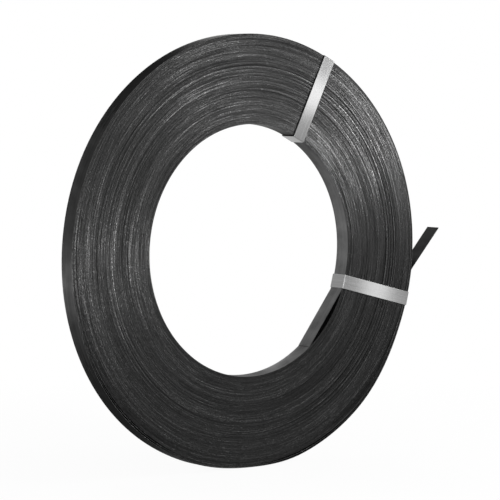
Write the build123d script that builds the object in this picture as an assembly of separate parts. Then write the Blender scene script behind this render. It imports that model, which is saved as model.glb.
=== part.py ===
from build123d import *
import math
import os

# A flat coil of steel strap, standing on its rim and facing -Y, with the origin at its centre.
# It is drawn lying on its back end, with the bore's axis upright, and stood up last.
# Angles run anticlockwise from +X, seen from its front, which is the way the strap winds outwards.
# Lengths are in millimetres, angles in degrees.

# The strap
strap_width = 16.0
strap_thick = 0.5

# The winding, from the bore outwards: turns in each group, and how far the group stands up.
# The strap wanders sideways as it winds, so a group that stands up on one end sits back on the other.
bore_radius = 115.0
turn_groups = [
    (25, 0.0),
    (24, 0.2),
    (4, -0.3),
    (17, 0.15),
    (24, -0.05),
    (3, -0.35),
    (20, 0.1),
    (12, -0.25),
    (15, 0.2),
    (21, 0.0),
]

# The outer end lifts off the rim a little past the lower tie, bends outwards and stands free
outer_end_past_tie = 21.0
outer_end_lift_angle = 4.0
outer_end_bend_angle = 30.4
outer_end_bend = 3.0
outer_end_length = 52.0

# The last turn has sprung away from the coil on its way from the upper tie to the lower one,
# and the coil's weight has pressed it back where it stands on the floor.
# It swings out and in between these places: the share of the way gone, and how far it stands off.
loose_turn = [
    (0.365, 0.0),
    (0.593, 3.9),
    (0.668, 3.4),
    (0.732, 1.9),
    (0.799, 4.2),
    (0.874, 4.2),
    (0.991, 0.0),
]

# The turn beneath it hangs loose as well, in a gap on either side of where the coil stands:
# where the gap starts, is widest and ends, as the share of the way gone, and its width less that turn
loose_gaps = [
    (0.42, 0.60, 0.70, 2.4),
    (0.73, 0.79, 0.98, 2.6),
]
least_gap = 0.4

# The inner end springs off the bore's wall just below the lower tie and lies straight across it
inner_end_past_tie = 1.2
inner_end_length = 64.0
inner_end_gap = 0.3

# The ties: a flat band bent tight round the coil's section, its ends lapped on the back
tie_width = 13.0
tie_thick = 0.5
tie_bend = 0.9
tie_clearance = 0.2
tie_lap = 30.0
tie_lap_ramp = 2.0
upper_tie_angle = 62.2
upper_tie_lean_angle = 1.3
lower_tie_angle = 343.5
lower_tie_lean_angle = 2.1

# How finely the winding is drawn: the most that half an arc spans, on the loose stretch and elsewhere
loose_step = 5
tight_step = 45

# The winding's sizes that follow
turns = sum(count for count, stand in turn_groups)
coil_radius = bore_radius + turns * strap_thick
most_stand = max(abs(stand) for count, stand in turn_groups)
half_width = strap_width / 2
middle_radius = (bore_radius + coil_radius) / 2


def half_spread(lean):
    """How far a leaning tie reaches sideways of its middle, at the rim and at the bore."""
    return tie_width / 2 + (coil_radius - bore_radius) / 2 * math.sin(math.radians(lean))


lower_spread = half_spread(lower_tie_lean_angle)
outer_end_angle = lower_tie_angle + math.degrees((lower_spread + outer_end_past_tie) / coil_radius)
inner_end_angle = lower_tie_angle - 360 - math.degrees((lower_spread + inner_end_past_tie) / bore_radius)
way_between_ties = lower_tie_angle - upper_tie_angle
loose_swings = [(upper_tie_angle + way_between_ties * share, lift) for share, lift in loose_turn]


def polar(radius, angle):
    """A point on the coil's middle plane."""
    turned = math.radians(angle)
    return Vector(radius * math.cos(turned), radius * math.sin(turned))


def rim_radius(angle):
    """The last turn's outer face: it grows by one strap thickness a turn, up to the outer end."""
    return coil_radius - strap_thick * (outer_end_angle - angle) / 360


def wall_radius(angle):
    """The first turn's inner face: it grows by one strap thickness a turn, from the inner end."""
    return bore_radius + strap_thick * (angle - inner_end_angle) / 360


def lift_at(angle):
    """How far the last turn stands off the coil: it eases from each swing's end to the next."""
    for (first, low), (last, high) in zip(loose_swings, loose_swings[1:]):
        if first <= angle <= last:
            share = (angle - first) / (last - first)
            return low + (high - low) * (1 - math.cos(math.pi * share)) / 2
    return 0.0


def spread(first, last, step):
    """Angles from first to last, no more than a step apart, an even number of gaps between them."""
    count = 2 * math.ceil((last - first) / (2 * step))
    return [first + (last - first) * i / count for i in range(count + 1)]


def arcs(points):
    """A chain of arcs: each goes through the next two points."""
    for start, middle, end in zip(points[::2], points[1::2], points[2::2]):
        ThreePointArc(start, middle, end)


loose_angles = spread(loose_swings[0][0], loose_swings[-1][0], loose_step)


def rim_outline():
    """The coil's outside, with its loose stretch and the outer end that stands free."""
    tight_before = spread(outer_end_angle - 360, loose_angles[0], tight_step)
    tight_after = spread(loose_angles[-1], outer_end_angle, tight_step)
    heading = polar(1, outer_end_angle + 90 - outer_end_lift_angle)
    near_root = polar(coil_radius, outer_end_angle)
    far_root = polar(coil_radius - strap_thick, outer_end_angle)
    with BuildSketch() as sketch:
        with BuildLine():
            for angles in (tight_before, loose_angles, tight_after):
                arcs([polar(rim_radius(angle) + lift_at(angle), angle) for angle in angles])
            near = JernArc(near_root, heading, outer_end_bend, -outer_end_bend_angle)
            near_side = Line(near @ 1, near @ 1 + (near % 1) * outer_end_length)
            far = JernArc(far_root, heading, outer_end_bend + strap_thick, -outer_end_bend_angle)
            far_side = Line(far @ 1, far @ 1 + (far % 1) * outer_end_length)
            Line(near_side @ 1, far_side @ 1)
        make_face()
    return sketch.sketch


def loose_gap(start, widest, end, width):
    """One gap, as the crescents on either side of the turn in it. Their tips are cut where they close up."""
    first, middle, last = (upper_tie_angle + way_between_ties * share for share in (start, widest, end))
    tip = math.acos(1 - 2 * least_gap / width) / math.pi
    angles = spread(first + (middle - first) * tip, last - (last - middle) * tip, loose_step)

    def wall(turns_in, halves_in):
        """One wall of a crescent, so many turns and half gaps in from the loose turn's outer face."""
        points = []
        for angle in angles:
            share = min((angle - first) / (middle - first), (last - angle) / (last - middle))
            half_gap = width * (1 - math.cos(math.pi * share)) / 4
            depth = turns_in * strap_thick + halves_in * half_gap
            points.append(polar(rim_radius(angle) + lift_at(angle) - depth, angle))
        arcs(points)
        return points

    crescents = Sketch()
    for turns_in in (1, 2):
        with BuildSketch() as sketch:
            with BuildLine():
                outer = wall(turns_in, turns_in - 1)
                inner = wall(turns_in, turns_in)
                Line(outer[0], inner[0])
                Line(outer[-1], inner[-1])
            make_face()
        crescents += sketch.sketch
    return crescents


def bore_outline():
    """The open middle: one turn of the wall, less the inner end that lies across it."""
    whole_turn = spread(inner_end_angle, inner_end_angle + 360, tight_step)
    wall = [polar(wall_radius(angle), angle) for angle in whole_turn]
    near_root, far_root = wall[0], wall[-1]
    tip_radius = bore_radius + strap_thick - inner_end_gap
    cosine = (far_root.length**2 + tip_radius**2 - inner_end_length**2) / (2 * far_root.length * tip_radius)
    far_tip = polar(tip_radius, inner_end_angle - math.degrees(math.acos(cosine)))
    near_tip = far_tip + near_root - far_root
    with BuildSketch() as sketch:
        with BuildLine():
            arcs(wall)
            Polyline(far_root, far_tip, near_tip, near_root)
        make_face()
    return sketch.sketch


def stepped_turns():
    """The groups between the first and the last, turned as one body with a step at each."""
    top, bottom = [], []
    radius = bore_radius + turn_groups[0][0] * strap_thick
    for count, stand in turn_groups[1:-1]:
        outside = radius + count * strap_thick
        top += [(radius, half_width + stand), (outside, half_width + stand)]
        bottom += [(radius, stand - half_width), (outside, stand - half_width)]
        radius = outside
    profile = Plane.XZ * make_face(Polyline(*top, *reversed(bottom), close=True))
    return revolve(profile, Axis.Z)


def strap_coil():
    """One strap, wound: the plain first turns, the stepped ones, and the last with its loose stretch."""
    first_edge = bore_radius + turn_groups[0][0] * strap_thick
    last_edge = coil_radius - turn_groups[-1][0] * strap_thick
    first_turns = extrude(Circle(first_edge) - bore_outline(), half_width, both=True)
    last_outline = rim_outline() - Circle(last_edge)
    for gap in loose_gaps:
        last_outline -= loose_gap(*gap)
    last_turns = extrude(last_outline, half_width, both=True)
    return first_turns + stepped_turns() + last_turns


def tie(angle, lean):
    """A band round the section: flat runs on both ends, the rim and the bore, lapped on the back."""
    leaning = math.radians(lean)
    bore_reach = math.sqrt(bore_radius**2 - half_spread(lean) ** 2) - tie_width / 2 * math.sin(leaning)
    bore_side = bore_reach - tie_clearance - middle_radius
    rim_side = rim_radius(angle) + tie_clearance - middle_radius * math.cos(leaning)
    height = half_width + most_stand + tie_clearance
    centre = (bore_side + rim_side) / 2
    length = rim_side - bore_side
    inside = RectangleRounded(length, 2 * height, tie_bend)
    outside = RectangleRounded(length + 2 * tie_thick, 2 * (height + tie_thick), tie_bend + tie_thick)
    seam = height + tie_thick
    lap = make_face(
        Polyline(
            (-tie_lap / 2, -seam),
            (-tie_lap / 2, -seam - tie_thick),
            (tie_lap / 2 - tie_lap_ramp, -seam - tie_thick),
            (tie_lap / 2, -seam),
            close=True,
        )
    )
    section = Plane.XZ * (Pos(centre, 0) * (outside - inside + lap))
    band = extrude(section, tie_width / 2, both=True)
    return Rot(0, 0, angle) * Pos(middle_radius, 0, 0) * Rot(0, 0, lean) * band


stand_up = Rot(90, 0, 0)
nodes = {
    "strap_coil": strap_coil(),
    "tie_upper": tie(upper_tie_angle, upper_tie_lean_angle),
    "tie_lower": tie(lower_tie_angle, lower_tie_lean_angle),
}

os.makedirs("parts", exist_ok=True)
for name, shape in nodes.items():
    export_step(stand_up * shape, f"parts/{name}.step")
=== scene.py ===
import bmesh
import bpy
import math
from mathutils import Matrix, Vector, noise


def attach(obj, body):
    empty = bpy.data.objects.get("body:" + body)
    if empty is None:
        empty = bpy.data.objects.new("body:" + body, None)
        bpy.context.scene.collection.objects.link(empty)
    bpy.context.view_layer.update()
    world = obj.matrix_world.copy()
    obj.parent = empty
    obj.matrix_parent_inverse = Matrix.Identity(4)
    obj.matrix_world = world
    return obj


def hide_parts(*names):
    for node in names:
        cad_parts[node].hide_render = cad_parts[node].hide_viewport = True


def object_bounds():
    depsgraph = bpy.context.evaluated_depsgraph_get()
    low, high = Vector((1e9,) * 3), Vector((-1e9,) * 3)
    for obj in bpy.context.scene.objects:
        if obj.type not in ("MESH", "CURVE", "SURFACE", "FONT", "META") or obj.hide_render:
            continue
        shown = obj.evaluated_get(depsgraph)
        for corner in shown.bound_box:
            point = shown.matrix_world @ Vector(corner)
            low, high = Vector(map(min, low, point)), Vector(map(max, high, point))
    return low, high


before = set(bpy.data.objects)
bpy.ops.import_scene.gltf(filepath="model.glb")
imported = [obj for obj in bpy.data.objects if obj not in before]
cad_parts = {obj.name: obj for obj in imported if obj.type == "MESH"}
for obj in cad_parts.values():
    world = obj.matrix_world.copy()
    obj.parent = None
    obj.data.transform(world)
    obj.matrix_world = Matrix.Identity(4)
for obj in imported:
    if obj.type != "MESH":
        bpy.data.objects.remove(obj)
cad_low, cad_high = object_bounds()

# The camera stands to the left of the coil's front and a little above its middle, as in the photo.
# It is aimed a hair to the right of the bore's axis, through a long lens.
camera_round_right = -38.27
camera_up = 4.035
camera_distance = 2.1548
camera_lens = 169.6
camera_aim = Vector((0.00233, -0.00184, 0.0))


def stand_off(item, target, round_right, up, distance):
    """Puts a camera or a lamp off the coil, turned to it: degrees round from its front, and degrees up."""
    turn, rise = math.radians(round_right), math.radians(up)
    outwards = Vector((math.sin(turn) * math.cos(rise), -math.cos(turn) * math.cos(rise), math.sin(rise)))
    item.location = target + outwards * distance
    item.rotation_mode = "QUATERNION"
    item.rotation_quaternion = (-outwards).to_track_quat("-Z", "Y")
    bpy.context.scene.collection.objects.link(item)


camera = bpy.data.objects.new("camera", bpy.data.cameras.new("camera"))
camera.data.lens = camera_lens
stand_off(camera, camera_aim, camera_round_right, camera_up, camera_distance)
bpy.context.scene.camera = camera

# The winding: black steel strap, 16 mm wide and half a millimetre thick, slit from sheet and wound edge
# over edge. Each slit edge leans outwards from a crest, and the strap wanders sideways as it winds, so
# groups of turns stand up on one end of the coil and sit back on the other.
strap_width = 0.016
strap_thick = 0.0005
bore_radius = 0.115
turn_pitch = 0.00049989
tight_turns = 162
whole_turns = tight_turns + 2
inner_end_angle = math.radians(-21.09)
under_inner_end = math.radians(32.0)
outer_end_angle = math.radians(351.916)
steps_round = 180
merge_distance = 1e-6
rounding_slack = 1e-3
# An edge of the mesh that runs round the coil is longer than this, and drops less than this on its way
least_run = 0.002
most_drop = 0.001

# Across one turn's edge, outwards from the groove beneath it: where its crest and its outer side stand,
# and the foot of the next groove. A groove is deeper by twice as much as its two turns have parted.
crest = 0.00006
shoulder = 0.00042
foot = 0.00048
groove_depth = 0.00012
depth_by_parting = 2
usual_lean = 0.00005
shared_lean_change = 0.00012
own_lean_change = 0.00007

# Groups of turns from the bore outwards: how many, and how far they stand up
turn_groups = [
    (25, 0.0),
    (24, 0.00005),
    (21, -0.00005),
    (24, 0.00005),
    (24, -0.00005),
    (23, 0.00005),
    (27, 0.0),
]
group_change = 0.3

# Turns that have slipped: the middle one of a few, how many, how far they stand up, and the angle
# at which they do so most
slipped_turns = [
    (4.5, 3, -0.0002, 190),
    (10.0, 2, 0.00022, 40),
    (20.0, 1, 0.00015, 60),
    (46.4, 1, 0.00012, 30),
    (47.7, 1.4, -0.0003, 40),
    (51.5, 1.2, -0.00025, 200),
    (61.0, 1, -0.0002, 50),
    (64.5, 1.2, -0.00025, 200),
    (70.0, 1, -0.00025, 40),
    (76.5, 1, 0.0002, 120),
    (81.0, 1.4, 0.00018, 200),
    (87.5, 1.6, -0.00032, 200),
    (90.0, 1, 0.0002, 190),
    (93.8, 2, -0.00045, 35),
    (97.5, 1.4, 0.00022, 40),
    (99.5, 1.2, -0.00022, 200),
    (104.0, 1.6, 0.00035, 50),
    (107.0, 1.4, -0.00035, 10),
    (111.5, 1.2, 0.00015, 40),
    (114.0, 1.4, -0.00038, 55),
    (116.5, 1.2, 0.0002, 40),
    (119.0, 1.2, -0.0003, 40),
    (125.0, 1.4, 0.00018, 50),
    (142.5, 1.2, -0.00022, 200),
    (147.5, 1.2, 0.00018, 120),
    (155.5, 1.2, -0.00028, 200),
    (158.0, 1, 0.00018, 40),
    (161.5, 1.4, -0.0003, 20),
]
slip_ease = 0.4
least_slip = 0.25

# How far the whole strap wanders besides, slowly round the coil and quickly from turn to turn
slow_wander = 0.00009
middling_wander = 0.00012
quick_wander = 0.00008

# Where the last turn stands off between the ties: degrees round, and how far
loose_swings = [
    (164.9, 0.0),
    (229.0, 0.0039),
    (250.1, 0.0034),
    (268.1, 0.0019),
    (287.0, 0.0042),
    (308.1, 0.0042),
    (341.0, 0.0),
]
# Where the gap under it starts, is widest and ends, and its width less the turn that hangs in it
loose_gaps = [
    (180.3, 231.0, 259.1, 0.0024),
    (267.5, 284.4, 337.9, 0.0026),
]
# The turns beneath the loose ones bulge out with them, over this many turns
swollen_turns = 14


def eased(share):
    """A share of a change, kept between none and all of it, that starts and ends gently."""
    share = min(max(share, 0.0), 1.0)
    return share * share * (3 - 2 * share)


def swung(share):
    """How much of a swing is done at this share of its way."""
    return (1 - math.cos(math.pi * share)) / 2


def group_stand(wound):
    """How far the group of turns here stands up: it eases from one group to the next."""
    first = 0
    stand = turn_groups[0][1]
    for count, next_stand in turn_groups:
        stand += (next_stand - stand) * eased((wound - first) / group_change)
        first += count
    return stand


def slip(wound):
    """How far the strap has slipped here, out of line with its neighbours."""
    degrees = math.degrees(inner_end_angle) + 360 * wound
    total = 0.0
    for middle, count, stand, most_at in slipped_turns:
        nearness = (count / 2 + slip_ease - abs(wound - middle)) / slip_ease
        if nearness > 0:
            about = (1 + math.cos(math.radians(degrees - most_at))) / 2
            total += stand * min(nearness, 1.0) * (least_slip + (1 - least_slip) * about)
    return total


def ring_noise(wound, reach, drift, start=0.0):
    """Noise that neighbouring turns share: how much it changes round the coil, and in one turn."""
    angle = 2 * math.pi * wound
    return noise.noise(Vector((reach * math.cos(angle), reach * math.sin(angle), drift * wound + start)))


def turn_noise(wound, quickness, row):
    """Noise along the strap alone, from a row of its own, so that neighbouring turns differ."""
    return noise.noise(Vector((quickness * wound, *row)))


def edge_shift(wound):
    """How far the strap has wandered towards the front, that many turns from its inner end."""
    slow = ring_noise(wound, reach=1.3, drift=0.16)
    middling = ring_noise(wound, reach=2.6, drift=0.6, start=40.0)
    quick = turn_noise(wound, quickness=9.0, row=(3.7, 1.9))
    wander = slow_wander * slow + middling_wander * middling + quick_wander * quick
    return group_stand(wound) + slip(wound) + wander


def edge_lean(wound):
    """How much lower the outer side of the strap's slit edge is than its crest, at this place."""
    shared = ring_noise(wound, reach=2.6, drift=0.7, start=90.0)
    own = turn_noise(wound, quickness=13.0, row=(8.1, 4.4))
    return usual_lean + shared_lean_change * shared + own_lean_change * own


def last_turn_lift(degrees):
    """How far the last turn stands off the coil: it eases from each swing's end to the next."""
    for (first, low), (last, high) in zip(loose_swings, loose_swings[1:]):
        if first <= degrees <= last:
            return low + (high - low) * swung((degrees - first) / (last - first))
    return 0.0


def gap_below(degrees):
    """How wide the gap under the last turn is there, less the turn that hangs in it."""
    for first, middle, last, width in loose_gaps:
        if first <= degrees <= last:
            share = min((degrees - first) / (middle - first), (last - degrees) / (last - middle))
            return width * swung(share)
    return 0.0


def lift_of(wound):
    """How far the strap stands off its tight place, that many turns from its inner end."""
    degrees = math.degrees(inner_end_angle) + 360 * (wound % 1.0)
    if wound >= whole_turns and degrees < 0:
        degrees += 360
    last_lift = last_turn_lift(degrees)
    if wound >= whole_turns - 1:
        return last_lift
    if wound >= tight_turns:
        return last_lift - gap_below(degrees) / 2
    return (last_lift - gap_below(degrees)) * eased((wound - (tight_turns - swollen_turns)) / swollen_turns)


known_facts = {}


def strap_facts(wound):
    """How far the strap has wandered here, and how far it stands off: worked out once for each place."""
    if wound not in known_facts:
        known_facts[wound] = edge_shift(wound), lift_of(min(wound, tight_turns))
    return known_facts[wound]


def groove_rise(side, inner_facts, outer_facts):
    """How far the groove between two turns stands up on one end of the coil."""
    inner_shift, inner_lift = inner_facts
    outer_shift, outer_lift = outer_facts
    lower_edge = min(-side * inner_shift, -side * outer_shift)
    return lower_edge - groove_depth - depth_by_parting * max(outer_lift - inner_lift, 0.0)


def add_piece(mesh, name):
    """A finished mesh, put in the scene as a piece."""
    data = bpy.data.meshes.new(name)
    mesh.to_mesh(data)
    mesh.free()
    piece = bpy.data.objects.new(name, data)
    bpy.context.scene.collection.objects.link(piece)
    return piece


def spin_profile(mesh, first_turn, last_turn):
    """The profile of the turns' edges on both ends, spun once round the bore. Gives its last section."""
    front, back = [], []
    for turn in range(first_turn, last_turn):
        for place in (0.0, crest, shoulder, foot):
            for side, row in ((-1, front), (1, back)):
                radius = bore_radius + turn_pitch * turn + place
                row.append(mesh.verts.new((radius, side * strap_width / 2, 0)))
    outline = front + list(reversed(back))
    edges = [mesh.edges.new(pair) for pair in zip(outline, outline[1:] + outline[:1])]
    spun = bmesh.ops.spin(
        mesh,
        geom=outline + edges,
        cent=(0, 0, 0),
        axis=(0, -1, 0),
        angle=2 * math.pi,
        steps=steps_round,
        use_merge=False,
    )
    return {v for v in spun["geom_last"] if isinstance(v, bmesh.types.BMVert)}


def mark_walls(mesh):
    """The finishes of the outer and the bore walls, with painted shade on the bore wall under the inner
    end, and shading that is smooth round the coil only.
    """
    for face in mesh.faces:
        face.smooth = True
        heights = [vert.co.y for vert in face.verts]
        if max(heights) - min(heights) > strap_width / 2:
            middle = face.calc_center_median()
            before_end = (inner_end_angle - math.atan2(middle.z, middle.x)) % (2 * math.pi)
            on_bore = math.hypot(middle.x, middle.z) < bore_radius + 2 * strap_thick
            # Under the inner end the bore wall takes the black finish: a painted shade in the gap behind
            # the end.
            face.material_index = 2 if on_bore and before_end > under_inner_end else 1
    for edge in mesh.edges:
        step = edge.verts[1].co - edge.verts[0].co
        if step.length > least_run and abs(step.y) < most_drop:
            edge.smooth = False


def wind_turns(name, first_turn, last_turn):
    """The turns from one to another, as one spiral body with a leaning edge and a groove for each turn."""
    mesh = bmesh.new()
    wound_layer = mesh.verts.layers.float.new("wound")
    stand_layer = mesh.verts.layers.float.new("stand")
    last_section = spin_profile(mesh, first_turn, last_turn)
    for vert in mesh.verts:
        radius = math.hypot(vert.co.x, vert.co.z)
        share = math.atan2(vert.co.z, vert.co.x) / (2 * math.pi) % 1.0
        if vert in last_section:
            share = 1.0
        elif share > 1 - 0.5 / steps_round:
            share = 0.0
        turn = (radius - bore_radius) / turn_pitch
        whole = math.floor(turn + rounding_slack)
        place = (turn - whole) * turn_pitch
        wound = whole + share
        shift, lift = strap_facts(wound)
        side = -1 if vert.co.y < 0 else 1
        rise = -side * shift
        if place < crest / 2:
            rise = groove_rise(side, strap_facts(wound - 1), (shift, lift))
        elif place > (shoulder + foot) / 2:
            rise = groove_rise(side, (shift, lift), strap_facts(wound + 1))
        elif place > (crest + shoulder) / 2:
            rise -= edge_lean(wound)
        grown = radius + turn_pitch * share + lift
        angle = inner_end_angle + 2 * math.pi * share
        across = side * (strap_width / 2 + rise)
        vert.co = Vector((grown * math.cos(angle), across, grown * math.sin(angle)))
        vert[wound_layer] = wound
        vert[stand_layer] = -side * shift
    bmesh.ops.remove_doubles(mesh, verts=mesh.verts, dist=merge_distance)
    bmesh.ops.holes_fill(mesh, edges=[e for e in mesh.edges if e.is_boundary], sides=0)
    bmesh.ops.recalc_face_normals(mesh, faces=mesh.faces)
    mark_walls(mesh)
    return add_piece(mesh, name)


def new_material(name):
    """A new material, its nodes' tree and its shader."""
    material = bpy.data.materials.new(name)
    material.use_nodes = True
    return material, material.node_tree, material.node_tree.nodes["Principled BSDF"]


def node_math(tree, operation, first, second):
    """A maths node of two inputs, each a socket or a number."""
    node = tree.nodes.new("ShaderNodeMath")
    node.operation = operation
    for socket, value in zip(node.inputs, (first, second)):
        if isinstance(value, (int, float)):
            socket.default_value = value
        else:
            tree.links.new(value, socket)
    return node.outputs[0]


def vector_node(tree, operation, first):
    """A vector maths node with its first input joined."""
    node = tree.nodes.new("ShaderNodeVectorMath")
    node.operation = operation
    tree.links.new(first, node.inputs[0])
    return node


def grain_at(tree, place, scale, detail, roughness=0.5):
    """Noise read at a place."""
    grain = tree.nodes.new("ShaderNodeTexNoise")
    grain.inputs["Scale"].default_value = scale
    grain.inputs["Detail"].default_value = detail
    grain.inputs["Roughness"].default_value = roughness
    tree.links.new(place, grain.inputs["Vector"])
    return grain.outputs["Fac"]


def object_place(tree):
    """Each point's own place in the object."""
    return tree.nodes.new("ShaderNodeTexCoord").outputs["Object"]


def stretched(tree, place, scale):
    """A place, scaled along each axis so that the noise read there is drawn out."""
    drawn_out = tree.nodes.new("ShaderNodeMapping")
    drawn_out.inputs["Scale"].default_value = scale
    tree.links.new(place, drawn_out.inputs["Vector"])
    return drawn_out.outputs[0]


def ring_grain(tree, along, across, detail=1.0):
    """Noise drawn out round the bore's axis: so many grains a radian, and so many a metre outwards."""
    flat = vector_node(tree, "MULTIPLY", object_place(tree))
    flat.inputs[1].default_value = (1, 0, 1)
    direction = vector_node(tree, "NORMALIZE", flat.outputs[0])
    around = vector_node(tree, "SCALE", direction.outputs[0])
    around.inputs["Scale"].default_value = along
    radius = vector_node(tree, "LENGTH", flat.outputs[0])
    outwards = tree.nodes.new("ShaderNodeCombineXYZ")
    tree.links.new(node_math(tree, "MULTIPLY", radius.outputs["Value"], across), outwards.inputs["Y"])
    both = vector_node(tree, "ADD", around.outputs[0])
    tree.links.new(outwards.outputs[0], both.inputs[1])
    return grain_at(tree, both.outputs[0], scale=1.0, detail=detail)


def strap_fact(tree, name):
    """One of the values kept along the strap with its mesh."""
    fact = tree.nodes.new("ShaderNodeAttribute")
    fact.attribute_name = name
    return fact.outputs["Fac"]


def along_strap(tree, scale, detail):
    """Noise that runs along the strap only, so that each turn differs from its neighbours."""
    grain = tree.nodes.new("ShaderNodeTexNoise")
    grain.noise_dimensions = "1D"
    grain.inputs["Scale"].default_value = scale
    grain.inputs["Detail"].default_value = detail
    tree.links.new(strap_fact(tree, "wound"), grain.inputs["W"])
    return grain.outputs["Fac"]


def spread_between(tree, value, limits, results):
    """A value carried over from between two limits to between two results."""
    spread = tree.nodes.new("ShaderNodeMapRange")
    spread.inputs["From Min"].default_value, spread.inputs["From Max"].default_value = limits
    spread.inputs["To Min"].default_value, spread.inputs["To Max"].default_value = results
    tree.links.new(value, spread.inputs["Value"])
    return spread.outputs[0]


def weigh_up(tree, grains):
    """Several noises, each about its middle and with its own weight, added up."""
    total = 0.0
    for grain, weight in grains:
        about_middle = node_math(tree, "SUBTRACT", grain, 0.5)
        weighted = node_math(tree, "MULTIPLY", about_middle, weight)
        total = node_math(tree, "ADD", weighted, total)
    return total


def roughen(tree, shader, height, strength, distance):
    """Fine relief from a noise."""
    relief = tree.nodes.new("ShaderNodeBump")
    relief.inputs["Strength"].default_value = strength
    relief.inputs["Distance"].default_value = distance
    tree.links.new(height, relief.inputs["Height"])
    tree.links.new(relief.outputs[0], shader.inputs["Normal"])


# The slit edges: bare steel gone dark, in short and long lines round the coil, lighter and smoother where
# rubbing has polished it. Turns that stand up get the most rubbing and are painted lighter; those that sit
# back are painted darker, a painted shade in the recess between their neighbours.
edge_grey = 0.0177
edge_contrast = 5.6
edge_metallic = 0.8
shade_and_wear_by_stand = 560.0
wear_limits = (-0.3, 0.3)
edge_roughness = (0.46, 0.24)

edge_steel, tree, shader = new_material("slit_strap_edges")
shader.inputs["Metallic"].default_value = edge_metallic
nicks = ring_grain(tree, 55.0, 1500.0)
lines = weigh_up(
    tree,
    [
        (ring_grain(tree, 140.0, 1600.0), 1.1),
        (nicks, 0.4),
        (ring_grain(tree, 17.0, 1500.0), 0.3),
        (ring_grain(tree, 5.0, 1400.0), 0.45),
        (ring_grain(tree, 1.2, 1000.0, detail=2.0), 0.85),
        (along_strap(tree, scale=30.0, detail=2.0), 0.3),
    ],
)
# Painted shade and wear from how far each turn stands: darker where it sits back, lighter where it stands
# up.
wear_and_painted_shade = node_math(tree, "MULTIPLY", strap_fact(tree, "stand"), shade_and_wear_by_stand)
lines_wear_and_shade = node_math(tree, "ADD", lines, wear_and_painted_shade)
lighter = node_math(tree, "POWER", 2.0, node_math(tree, "MULTIPLY", lines_wear_and_shade, edge_contrast))
tree.links.new(node_math(tree, "MULTIPLY", lighter, edge_grey), shader.inputs["Base Color"])
tree.links.new(spread_between(tree, lines_wear_and_shade, wear_limits, edge_roughness), shader.inputs["Roughness"])
roughen(tree, shader, nicks, strength=0.2, distance=0.0001)

# The rolled flat sides: how far their lines are drawn out, and how much the marks change them
rolled_stretch = (9, 1300, 9)
mark_limits = (-0.2, 0.2)
least_shade, most_shade = 0.5, 1.5
gloss_change = 0.08
flat_sheen = 0.15


def flat_side(name, grey, metallic, edge_tint, rough):
    """The strap's rolled flat side: black, satin, with faint lines along the strap and faint scuffs."""
    material, tree, shader = new_material(name)
    shader.inputs["Metallic"].default_value = metallic
    shader.inputs["Specular IOR Level"].default_value = flat_sheen
    shader.inputs["Specular Tint"].default_value = (edge_tint, edge_tint, edge_tint, 1)
    place = object_place(tree)
    rolled = grain_at(tree, stretched(tree, place, rolled_stretch), scale=1.0, detail=4.0)
    scuffs = grain_at(tree, place, scale=55.0, detail=6.0, roughness=0.65)
    marks = weigh_up(tree, [(rolled, 0.5), (scuffs, 0.5)])
    shade = spread_between(tree, marks, mark_limits, (least_shade * grey, most_shade * grey))
    gloss = spread_between(tree, marks, mark_limits, (rough + gloss_change, rough - gloss_change))
    tree.links.new(shade, shader.inputs["Base Color"])
    tree.links.new(gloss, shader.inputs["Roughness"])
    roughen(tree, shader, rolled, strength=0.15, distance=0.0001)
    return material


black_face = flat_side("black_strap_face", grey=0.045, metallic=0.95, edge_tint=0.15, rough=0.42)
# The bore's wall, the innermost turn's face, is lighter and glossier than the other flat sides
bore_face = flat_side("bore_strap_face", grey=0.105, metallic=0.9, edge_tint=0.35, rough=0.36)

for name, first_turn, last_turn, finishes in (
    ("inner_turns", 0, 54, (edge_steel, black_face, bore_face)),
    ("middle_turns", 54, 108, (edge_steel, black_face)),
    ("outer_turns", 108, tight_turns, (edge_steel, black_face)),
):
    piece = wind_turns(name, first_turn, last_turn)
    for finish in finishes:
        piece.data.materials.append(finish)
    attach(piece, "root")
    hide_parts("strap_coil")

# The last two turns of the same strap. They have sprung off the coil between the upper tie and the
# lower one, where the first of the two hangs free of both its neighbours. Past the lower tie the cut
# end is bent outwards and stands free.
outer_end_lift_angle = math.radians(4.0)
outer_end_bend_angle = math.radians(30.4)
outer_end_bend = 0.003
outer_end_length = 0.052
outer_bend_steps = 6
section_corner = 0.0001
corner_angle = math.radians(15)
stretches = 8


def pointing(angle):
    """The direction from the bore's axis at an angle."""
    return Vector((math.cos(angle), 0, math.sin(angle)))


def strap_section(mesh, radius, shift):
    """The strap's cross-section, its four corners rounded, standing on the plane of angle 0."""
    made = bmesh.ops.create_grid(mesh, x_segments=1, y_segments=1, size=0.5)
    size = Matrix.Diagonal((strap_thick, strap_width, 1, 1))
    place = Matrix.Translation((radius + strap_thick / 2, -shift, 0))
    bmesh.ops.transform(mesh, matrix=place @ size, verts=made["verts"])
    bmesh.ops.bevel(
        mesh,
        geom=made["verts"],
        offset=section_corner,
        offset_type="OFFSET",
        affect="VERTICES",
        segments=2,
        profile=0.5,
        material=-1,
    )
    bmesh.ops.delete(mesh, geom=list(mesh.faces), context="FACES_ONLY")
    return list(mesh.verts), list(mesh.edges)


def grow(mesh, edges):
    """The strap's end, drawn on from its last section: the new section's points and edges."""
    grown = bmesh.ops.extrude_edge_only(mesh, edges=edges)
    verts = [v for v in grown["geom"] if isinstance(v, bmesh.types.BMVert)]
    fresh = set(verts)
    edges = [e for e in grown["geom"] if isinstance(e, bmesh.types.BMEdge)]
    return verts, [e for e in edges if all(v in fresh for v in e.verts)]


def bend_on(mesh, section, centre, angle, steps):
    """The strap's end, bent round a centre: the new last section's edges."""
    bent = bmesh.ops.spin(mesh, geom=section, cent=centre, axis=(0, 1, 0), angle=angle, steps=steps)
    return [e for e in bent["geom_last"] if isinstance(e, bmesh.types.BMEdge)]


def draw_straight(mesh, edges, reach):
    """The strap's end, drawn on straight, in a few stretches."""
    for stretch in range(stretches):
        verts, edges = grow(mesh, edges)
        bmesh.ops.translate(mesh, vec=reach / stretches, verts=verts)


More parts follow.
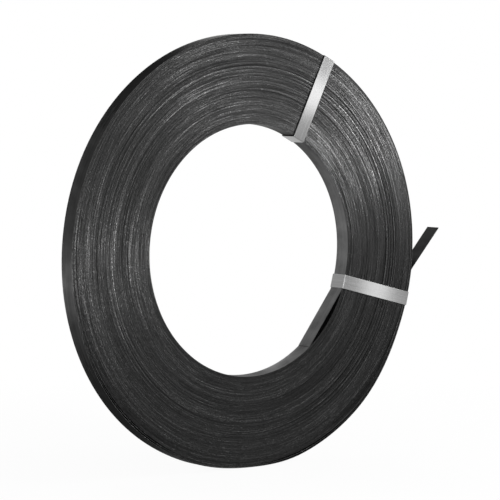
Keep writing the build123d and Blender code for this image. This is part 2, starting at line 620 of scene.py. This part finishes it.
def finish_strap(mesh, name, flat_finishes):
    """The strap's piece: closed ends, slit edges with their wear and painted shade, and its flat sides'
    finishes, outward and inward.
    """
    bmesh.ops.holes_fill(mesh, edges=[e for e in mesh.edges if e.is_boundary], sides=0)
    bmesh.ops.recalc_face_normals(mesh, faces=mesh.faces)
    for face in mesh.faces:
        face.smooth = len(face.verts) == 4
        if abs(face.normal.y) < 0.5:
            inward = face.normal.dot(face.calc_center_median()) < 0
            face.material_index = len(flat_finishes) if inward else 1
    for edge in mesh.edges:
        edge.smooth = edge.calc_face_angle(0.0) < corner_angle
    piece = add_piece(mesh, name)
    for finish in (edge_steel, *flat_finishes):
        piece.data.materials.append(finish)
    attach(piece, "root")
    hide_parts("strap_coil")


mesh = bmesh.new()
wound_layer = mesh.verts.layers.float.new("wound")
stand_layer = mesh.verts.layers.float.new("stand")
loose_length = 1 + (outer_end_angle - inner_end_angle) / (2 * math.pi)
verts, edges = strap_section(mesh, bore_radius, 0.0)
sections = [verts]
steps = round(steps_round * loose_length)
for step in range(steps):
    verts, edges = grow(mesh, edges)
    sections.append(verts)
for step, section in enumerate(sections):
    wound = tight_turns + loose_length * step / steps
    angle = inner_end_angle + 2 * math.pi * (wound - tight_turns)
    shift = edge_shift(wound)
    for vert in section:
        vert[stand_layer] = -shift if vert.co.y > 0 else shift
        radius = vert.co.x + turn_pitch * wound + lift_of(wound)
        vert.co = Vector((radius * math.cos(angle), vert.co.y - shift, radius * math.sin(angle)))
        vert[wound_layer] = wound
heading_angle = outer_end_angle + math.pi / 2 - outer_end_lift_angle
heading = pointing(heading_angle)
outwards = Vector((heading.z, 0, -heading.x))
end_radius = bore_radius + turn_pitch * (tight_turns + loose_length) + strap_thick
bend_centre = pointing(outer_end_angle) * end_radius + outwards * outer_end_bend
edges = bend_on(mesh, edges + verts, bend_centre, outer_end_bend_angle, outer_bend_steps)
draw_straight(mesh, edges, pointing(heading_angle - outer_end_bend_angle) * outer_end_length)
finish_strap(mesh, "loose_turns", (black_face,))

# The strap's inner end. It has sprung off the bore's wall just below the lower tie, and lies straight
# across the wall to its cut end.
inner_end_bend = 0.003
inner_end_length = 0.064
inner_end_gap = 0.0003
inner_bend_steps = 4

near_root = bore_radius + strap_thick
tip_radius = near_root - inner_end_gap
cosine = (near_root**2 + tip_radius**2 - inner_end_length**2) / (2 * near_root * tip_radius)
root = pointing(inner_end_angle) * near_root
tip = pointing(inner_end_angle - math.acos(cosine)) * tip_radius
tangent = Vector((root.z, 0, -root.x)).normalized()
bend_angle = tangent.angle(tip - root)
mesh = bmesh.new()
wound_layer = mesh.verts.layers.float.new("wound")
verts, edges = strap_section(mesh, bore_radius, edge_shift(0.0))
turned = Matrix.Rotation(-inner_end_angle, 4, "Y")
bmesh.ops.transform(mesh, matrix=turned, verts=verts)
bend_centre = root - root.normalized() * (strap_thick + inner_end_bend)
edges = bend_on(mesh, edges + verts, bend_centre, bend_angle, inner_bend_steps)
draw_straight(mesh, edges, tip - root)
for vert in mesh.verts:
    vert[wound_layer] = -(vert.co - root).length / (2 * math.pi * bore_radius)
finish_strap(mesh, "inner_end", (black_face, bore_face))

# The two ties: flat bands of bright galvanised steel, each bent tight round the coil's section through
# the bore, with its ends lapped on the coil's back. Their cut edges are a little rounded.
band_edge = 0.00012
band_grey = 0.25
darkest_band, lightest_band = 0.85 * band_grey, 1.15 * band_grey
band_roughness = (0.15, 0.18)
brush_stretch = (12, 12, 1800)
brush_limits = (0.25, 0.75)
weld_distance = 1e-5
flat_angle = math.radians(1)
least_rim_angle = math.radians(60)
band_corner_angle = math.radians(50)


def brushed_band(name, degrees):
    """The band's bright finish, brushed lengthwise. The band points so many degrees up from the right."""
    material, tree, shader = new_material(name)
    shader.inputs["Metallic"].default_value = 1.0
    turned = tree.nodes.new("ShaderNodeMapping")
    turned.vector_type = "TEXTURE"
    turned.inputs["Rotation"].default_value = (0, -math.radians(degrees), 0)
    tree.links.new(object_place(tree), turned.inputs["Vector"])
    brushed = grain_at(tree, stretched(tree, turned.outputs[0], brush_stretch), scale=1.0, detail=4.0)
    shade = spread_between(tree, brushed, brush_limits, (darkest_band, lightest_band))
    tree.links.new(shade, shader.inputs["Base Color"])
    tree.links.new(spread_between(tree, brushed, brush_limits, band_roughness), shader.inputs["Roughness"])
    roughen(tree, shader, brushed, strength=0.02, distance=0.00003)
    return material


for node, degrees in (("tie_upper", 63.5), ("tie_lower", 345.6)):
    mesh = bmesh.new()
    mesh.from_mesh(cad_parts[node].data)
    bmesh.ops.remove_doubles(mesh, verts=mesh.verts, dist=weld_distance)
    bmesh.ops.dissolve_limit(mesh, angle_limit=flat_angle, verts=mesh.verts, edges=mesh.edges)
    rims = [e for e in mesh.edges if e.calc_face_angle(0.0) > least_rim_angle]
    rounded = bmesh.ops.bevel(
        mesh,
        geom=rims,
        offset=band_edge,
        offset_type="OFFSET",
        affect="EDGES",
        segments=2,
        profile=0.5,
        material=-1,
    )
    rounding = set(rounded["faces"])
    for face in mesh.faces:
        face.smooth = True
    for edge in mesh.edges:
        within = len({face in rounding for face in edge.link_faces}) == 1
        edge.smooth = within and edge.calc_face_angle(0.0) < band_corner_angle
    band = add_piece(mesh, node + "_band")
    band.data.materials.append(brushed_band("brushed_" + node, degrees))
    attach(band, "root")
    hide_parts(node)

# The plain pale floor under the coil, and the white room all round it. Both show as white to the camera
# and in the metal, the floor a hair darker near the coil, where its shadow lies.
floor_half = 6.0
floor_grey = 0.8
floor_roughness = 0.9
shadow_reach = (0.1, 0.7)
whiteness = (0.93, 1.0)
room_light = 0.5


def seen_rays(tree, *kinds):
    """Whether a ray is of one of these kinds."""
    path = tree.nodes.new("ShaderNodeLightPath")
    seen = path.outputs[kinds[0]]
    for kind in kinds[1:]:
        seen = node_math(tree, "MAXIMUM", seen, path.outputs[kind])
    return seen


mesh = bmesh.new()
level = Matrix.Translation((0, 0, cad_low.z))
bmesh.ops.create_grid(mesh, x_segments=1, y_segments=1, size=floor_half, matrix=level)
floor = add_piece(mesh, "floor")
floor_paint, tree, shader = new_material("white_floor")
shader.inputs["Base Color"].default_value = (floor_grey, floor_grey, floor_grey, 1)
shader.inputs["Roughness"].default_value = floor_roughness
glow = tree.nodes.new("ShaderNodeEmission")
glow.inputs["Strength"].default_value = 1.0
far = vector_node(tree, "LENGTH", object_place(tree))
whiter = spread_between(tree, far.outputs["Value"], shadow_reach, whiteness)
share = node_math(tree, "MULTIPLY", seen_rays(tree, "Is Camera Ray", "Is Glossy Ray"), whiter)
mixed = tree.nodes.new("ShaderNodeMixShader")
for socket, source in zip(mixed.inputs, (share, shader.outputs[0], glow.outputs[0])):
    tree.links.new(source, socket)
tree.links.new(mixed.outputs[0], tree.nodes["Material Output"].inputs["Surface"])
floor.data.materials.append(floor_paint)

world = bpy.data.worlds.new("white_room")
world.use_nodes = True
bpy.context.scene.world = world
tree = world.node_tree
background = tree.nodes["Background"]
background.inputs["Color"].default_value = (1, 1, 1, 1)
seen = seen_rays(tree, "Is Camera Ray", "Is Glossy Ray", "Is Transmission Ray")
tree.links.new(node_math(tree, "MAXIMUM", seen, room_light), background.inputs["Strength"])

# Soft studio lamps, all turned to the coil's middle: degrees round from the front towards the right,
# degrees up, how far off, how wide and how strong. The last three are small, and show in the ties.
for name, round_right, up, distance, size, watts in (
    ("right_key", 60, 12, 0.9, 0.25, 3.7),
    ("high_key", 30, 20, 0.9, 0.25, 1.7),
    ("right_fill", 15, -5, 0.9, 0.25, 1.1),
    ("left_fill", -15, -5, 0.9, 0.25, 3.2),
    ("bore_light", 150, 27, 0.9, 0.25, 0.75),
    ("left_rim_light", -120, -10, 0.6, 0.12, 0.53),
    ("bend_light", -50, 19, 0.9, 0.1, 0.1),
    ("upper_tie_light", 44.1, 11.2, 0.723, 0.07, 0.05),
    ("lower_tie_light", 49.2, -7.5, 0.785, 0.07, 0.04),
):
    lamp = bpy.data.objects.new(name, bpy.data.lights.new(name, "AREA"))
    lamp.data.shape = "RECTANGLE"
    lamp.data.size = size
    lamp.data.size_y = size
    lamp.data.energy = watts
    stand_off(lamp, Vector((0, 0, 0)), round_right, up, distance)

bpy.context.scene.view_settings.view_transform = "Standard"
